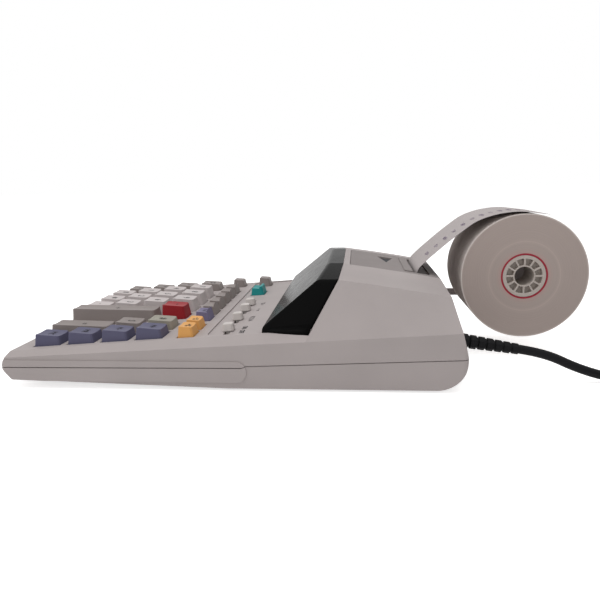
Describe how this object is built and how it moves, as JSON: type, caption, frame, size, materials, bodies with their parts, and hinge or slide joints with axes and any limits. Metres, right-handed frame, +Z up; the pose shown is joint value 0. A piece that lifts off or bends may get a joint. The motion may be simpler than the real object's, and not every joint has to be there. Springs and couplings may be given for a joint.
{
  "type": "printing desk calculator",
  "caption": "Wedge-shaped desk calculator with sprung keys, slide switches, smoked display visor, printer cover, paper roll on a spindle, printed tape and mains cord.",
  "frame": {"origin": "on the desk under the middle of case and paper roll together", "axes": "+X to the user's right, +Y from the nose to the paper roll, +Z up"},
  "size_m": [0.2342, 0.4054, 0.0887],
  "materials": {
    "blue_keys": "satin moulded plastic",
    "dark_keys": "satin moulded plastic",
    "olive_key": "satin moulded plastic",
    "red_key": "satin moulded plastic",
    "light_keys": "satin moulded plastic",
    "yellow_keys": "satin moulded plastic",
    "purple_key": "satin moulded plastic",
    "teal_key": "satin moulded plastic",
    "knobs": "satin moulded plastic",
    "case": "fine textured plastic",
    "visor": "glossy smoked plastic",
    "display": "dark display glass",
    "cover": "textured plastic",
    "inner_metal": "plated sheet",
    "platen": "ground rubber",
    "feet": "matt rubber",
    "board": "circuit board",
    "mat": "silicone rubber",
    "paper": "plain paper",
    "core": "moulded plastic",
    "holder": "satin plastic",
    "cord": "soft vinyl"
  },
  "bodies": {
    "base": {"lower_case": "case", "upper_case": "case", "display_visor": "visor", "display_tube": "display", "printer_cover": "cover", "printer_frame": "inner_metal", "power_transformer": "inner_metal", "rubber_feet": "feet", "main_board": "board", "key_mat": "mat", "paper_tape": "paper", "paper_holder": "holder", "strain_relief": "cord", "power_cord": "cord", "cord_coil": "cord", "cord_plug": "cord"},
    "platen": {"platen_roller": "platen"},
    "roll": {"paper_roll": "paper", "roll_core": "core"},
    "memory_total_key": {"memory_total_key": "blue_keys"},
    "memory_recall_key": {"memory_recall_key": "blue_keys"},
    "memory_minus_key": {"memory_minus_key": "blue_keys"},
    "memory_plus_key": {"memory_plus_key": "blue_keys"},
    "total_key": {"total_key": "dark_keys"},
    "subtotal_key": {"subtotal_key": "dark_keys"},
    "add_key": {"add_key": "dark_keys"},
    "clear_key": {"clear_key": "dark_keys"},
    "multiply_key": {"multiply_key": "dark_keys"},
    "divide_key": {"divide_key": "dark_keys"},
    "percent_key": {"percent_key": "dark_keys"},
    "cost_key": {"cost_key": "dark_keys"},
    "sell_key": {"sell_key": "dark_keys"},
    "margin_key": {"margin_key": "dark_keys"},
    "rate_key": {"rate_key": "dark_keys"},
    "exchange_key": {"exchange_key": "dark_keys"},
    "shift_key": {"shift_key": "dark_keys"},
    "back_key": {"back_key": "dark_keys"},
    "item_key": {"item_key": "olive_key"},
    "subtract_key": {"subtract_key": "red_key"},
    "digit_point_key": {"digit_point_key": "light_keys"},
    "digit_double_zero_key": {"digit_double_zero_key": "light_keys"},
    "digit_zero_key": {"digit_zero_key": "light_keys"},
    "digit_1_key": {"digit_1_key": "light_keys"},
    "digit_2_key": {"digit_2_key": "light_keys"},
    "digit_3_key": {"digit_3_key": "light_keys"},
    "digit_4_key": {"digit_4_key": "light_keys"},
    "digit_5_key": {"digit_5_key": "light_keys"},
    "digit_6_key": {"digit_6_key": "light_keys"},
    "digit_7_key": {"digit_7_key": "light_keys"},
    "digit_8_key": {"digit_8_key": "light_keys"},
    "digit_9_key": {"digit_9_key": "light_keys"},
    "tax_plus_key": {"tax_plus_key": "yellow_keys"},
    "tax_minus_key": {"tax_minus_key": "yellow_keys"},
    "grand_total_key": {"grand_total_key": "purple_key"},
    "paper_feed_key": {"paper_feed_key": "teal_key"},
    "switch_knob_1": {"switch_knob_1": "knobs"},
    "switch_knob_2": {"switch_knob_2": "knobs"},
    "switch_knob_3": {"switch_knob_3": "knobs"},
    "switch_knob_4": {"switch_knob_4": "knobs"}
  },
  "joints": [
    {"name": "platen_turn", "type": "hinge", "parent": "base", "child": "platen", "pos_m": [0, 0.05665, 0.036], "axis": [1, 0, 0], "continuous": true},
    {"name": "roll_turn", "type": "hinge", "parent": "base", "child": "roll", "pos_m": [0.002, 0.12805, 0.0505], "axis": [1, 0, 0], "continuous": true},
    {"name": "memory_total_key_press", "type": "slide", "parent": "base", "child": "memory_total_key", "axis": [0, 0.0698, -0.9976], "range_m": [0, 0.003], "stiffness_N_per_m": 250, "springref_m": -0.0012},
    {"name": "memory_recall_key_press", "type": "slide", "parent": "base", "child": "memory_recall_key", "axis": [0, 0.0698, -0.9976], "range_m": [0, 0.003], "stiffness_N_per_m": 250, "springref_m": -0.0012},
    {"name": "memory_minus_key_press", "type": "slide", "parent": "base", "child": "memory_minus_key", "axis": [0, 0.0698, -0.9976], "range_m": [0, 0.003], "stiffness_N_per_m": 250, "springref_m": -0.0012},
    {"name": "memory_plus_key_press", "type": "slide", "parent": "base", "child": "memory_plus_key", "axis": [0, 0.0698, -0.9976], "range_m": [0, 0.003], "stiffness_N_per_m": 250, "springref_m": -0.0012},
    {"name": "total_key_press", "type": "slide", "parent": "base", "child": "total_key", "axis": [0, 0.0698, -0.9976], "range_m": [0, 0.003], "stiffness_N_per_m": 250, "springref_m": -0.0012},
    {"name": "subtotal_key_press", "type": "slide", "parent": "base", "child": "subtotal_key", "axis": [0, 0.0698, -0.9976], "range_m": [0, 0.003], "stiffness_N_per_m": 250, "springref_m": -0.0012},
    {"name": "add_key_press", "type": "slide", "parent": "base", "child": "add_key", "axis": [0, 0.0698, -0.9976], "range_m": [0, 0.003], "stiffness_N_per_m": 250, "springref_m": -0.0012},
    {"name": "clear_key_press", "type": "slide", "parent": "base", "child": "clear_key", "axis": [0, 0.0698, -0.9976], "range_m": [0, 0.003], "stiffness_N_per_m": 250, "springref_m": -0.0012},
    {"name": "multiply_key_press", "type": "slide", "parent": "base", "child": "multiply_key", "axis": [0, 0.0698, -0.9976], "range_m": [0, 0.003], "stiffness_N_per_m": 250, "springref_m": -0.0012},
    {"name": "divide_key_press", "type": "slide", "parent": "base", "child": "divide_key", "axis": [0, 0.0698, -0.9976], "range_m": [0, 0.003], "stiffness_N_per_m": 250, "springref_m": -0.0012},
    {"name": "percent_key_press", "type": "slide", "parent": "base", "child": "percent_key", "axis": [0, 0.0698, -0.9976], "range_m": [0, 0.003], "stiffness_N_per_m": 250, "springref_m": -0.0012},
    {"name": "cost_key_press", "type": "slide", "parent": "base", "child": "cost_key", "axis": [0, 0.0698, -0.9976], "range_m": [0, 0.003], "stiffness_N_per_m": 250, "springref_m": -0.0012},
    {"name": "sell_key_press", "type": "slide", "parent": "base", "child": "sell_key", "axis": [0, 0.0698, -0.9976], "range_m": [0, 0.003], "stiffness_N_per_m": 250, "springref_m": -0.0012},
    {"name": "margin_key_press", "type": "slide", "parent": "base", "child": "margin_key", "axis": [0, 0.0698, -0.9976], "range_m": [0, 0.003], "stiffness_N_per_m": 250, "springref_m": -0.0012},
    {"name": "rate_key_press", "type": "slide", "parent": "base", "child": "rate_key", "axis": [0, 0.0698, -0.9976], "range_m": [0, 0.003], "stiffness_N_per_m": 250, "springref_m": -0.0012},
    {"name": "exchange_key_press", "type": "slide", "parent": "base", "child": "exchange_key", "axis": [0, 0.0698, -0.9976], "range_m": [0, 0.003], "stiffness_N_per_m": 250, "springref_m": -0.0012},
    {"name": "shift_key_press", "type": "slide", "parent": "base", "child": "shift_key", "axis": [0, 0.0698, -0.9976], "range_m": [0, 0.003], "stiffness_N_per_m": 250, "springref_m": -0.0012},
    {"name": "back_key_press", "type": "slide", "parent": "base", "child": "back_key", "axis": [0, 0.0698, -0.9976], "range_m": [0, 0.003], "stiffness_N_per_m": 250, "springref_m": -0.0012},
    {"name": "item_key_press", "type": "slide", "parent": "base", "child": "item_key", "axis": [0, 0.0698, -0.9976], "range_m": [0, 0.003], "stiffness_N_per_m": 250, "springref_m": -0.0012},
    {"name": "subtract_key_press", "type": "slide", "parent": "base", "child": "subtract_key", "axis": [0, 0.0698, -0.9976], "range_m": [0, 0.003], "stiffness_N_per_m": 250, "springref_m": -0.0012},
    {"name": "digit_point_key_press", "type": "slide", "parent": "base", "child": "digit_point_key", "axis": [0, 0.0698, -0.9976], "range_m": [0, 0.003], "stiffness_N_per_m": 250, "springref_m": -0.0012},
    {"name": "digit_double_zero_key_press", "type": "slide", "parent": "base", "child": "digit_double_zero_key", "axis": [0, 0.0698, -0.9976], "range_m": [0, 0.003], "stiffness_N_per_m": 250, "springref_m": -0.0012},
    {"name": "digit_zero_key_press", "type": "slide", "parent": "base", "child": "digit_zero_key", "axis": [0, 0.0698, -0.9976], "range_m": [0, 0.003], "stiffness_N_per_m": 250, "springref_m": -0.0012},
    {"name": "digit_1_key_press", "type": "slide", "parent": "base", "child": "digit_1_key", "axis": [0, 0.0698, -0.9976], "range_m": [0, 0.003], "stiffness_N_per_m": 250, "springref_m": -0.0012},
    {"name": "digit_2_key_press", "type": "slide", "parent": "base", "child": "digit_2_key", "axis": [0, 0.0698, -0.9976], "range_m": [0, 0.003], "stiffness_N_per_m": 250, "springref_m": -0.0012},
    {"name": "digit_3_key_press", "type": "slide", "parent": "base", "child": "digit_3_key", "axis": [0, 0.0698, -0.9976], "range_m": [0, 0.003], "stiffness_N_per_m": 250, "springref_m": -0.0012},
    {"name": "digit_4_key_press", "type": "slide", "parent": "base", "child": "digit_4_key", "axis": [0, 0.0698, -0.9976], "range_m": [0, 0.003], "stiffness_N_per_m": 250, "springref_m": -0.0012},
    {"name": "digit_5_key_press", "type": "slide", "parent": "base", "child": "digit_5_key", "axis": [0, 0.0698, -0.9976], "range_m": [0, 0.003], "stiffness_N_per_m": 250, "springref_m": -0.0012},
    {"name": "digit_6_key_press", "type": "slide", "parent": "base", "child": "digit_6_key", "axis": [0, 0.0698, -0.9976], "range_m": [0, 0.003], "stiffness_N_per_m": 250, "springref_m": -0.0012},
    {"name": "digit_7_key_press", "type": "slide", "parent": "base", "child": "digit_7_key", "axis": [0, 0.0698, -0.9976], "range_m": [0, 0.003], "stiffness_N_per_m": 250, "springref_m": -0.0012},
    {"name": "digit_8_key_press", "type": "slide", "parent": "base", "child": "digit_8_key", "axis": [0, 0.0698, -0.9976], "range_m": [0, 0.003], "stiffness_N_per_m": 250, "springref_m": -0.0012},
    {"name": "digit_9_key_press", "type": "slide", "parent": "base", "child": "digit_9_key", "axis": [0, 0.0698, -0.9976], "range_m": [0, 0.003], "stiffness_N_per_m": 250, "springref_m": -0.0012},
    {"name": "tax_plus_key_press", "type": "slide", "parent": "base", "child": "tax_plus_key", "axis": [0, 0.0698, -0.9976], "range_m": [0, 0.003], "stiffness_N_per_m": 250, "springref_m": -0.0012},
    {"name": "tax_minus_key_press", "type": "slide", "parent": "base", "child": "tax_minus_key", "axis": [0, 0.0698, -0.9976], "range_m": [0, 0.003], "stiffness_N_per_m": 250, "springref_m": -0.0012},
    {"name": "grand_total_key_press", "type": "slide", "parent": "base", "child": "grand_total_key", "axis": [0, 0.0698, -0.9976], "range_m": [0, 0.003], "stiffness_N_per_m": 250, "springref_m": -0.0012},
    {"name": "paper_feed_key_press", "type": "slide", "parent": "base", "child": "paper_feed_key", "axis": [0, 0.0698, -0.9976], "range_m": [0, 0.003], "stiffness_N_per_m": 250, "springref_m": -0.0012},
    {"name": "switch_knob_1_slide", "type": "slide", "parent": "base", "child": "switch_knob_1", "axis": [1, 0, 0], "range_m": [-0.00845, 0.00545]},
    {"name": "switch_knob_2_slide", "type": "slide", "parent": "base", "child": "switch_knob_2", "axis": [1, 0, 0], "range_m": [-0.00715, 0.00675]},
    {"name": "switch_knob_3_slide", "type": "slide", "parent": "base", "child": "switch_knob_3", "axis": [1, 0, 0], "range_m": [-0.00715, 0.00675]},
    {"name": "switch_knob_4_slide", "type": "slide", "parent": "base", "child": "switch_knob_4", "axis": [1, 0, 0], "range_m": [-0.01175, 0.00215]}
  ]
}
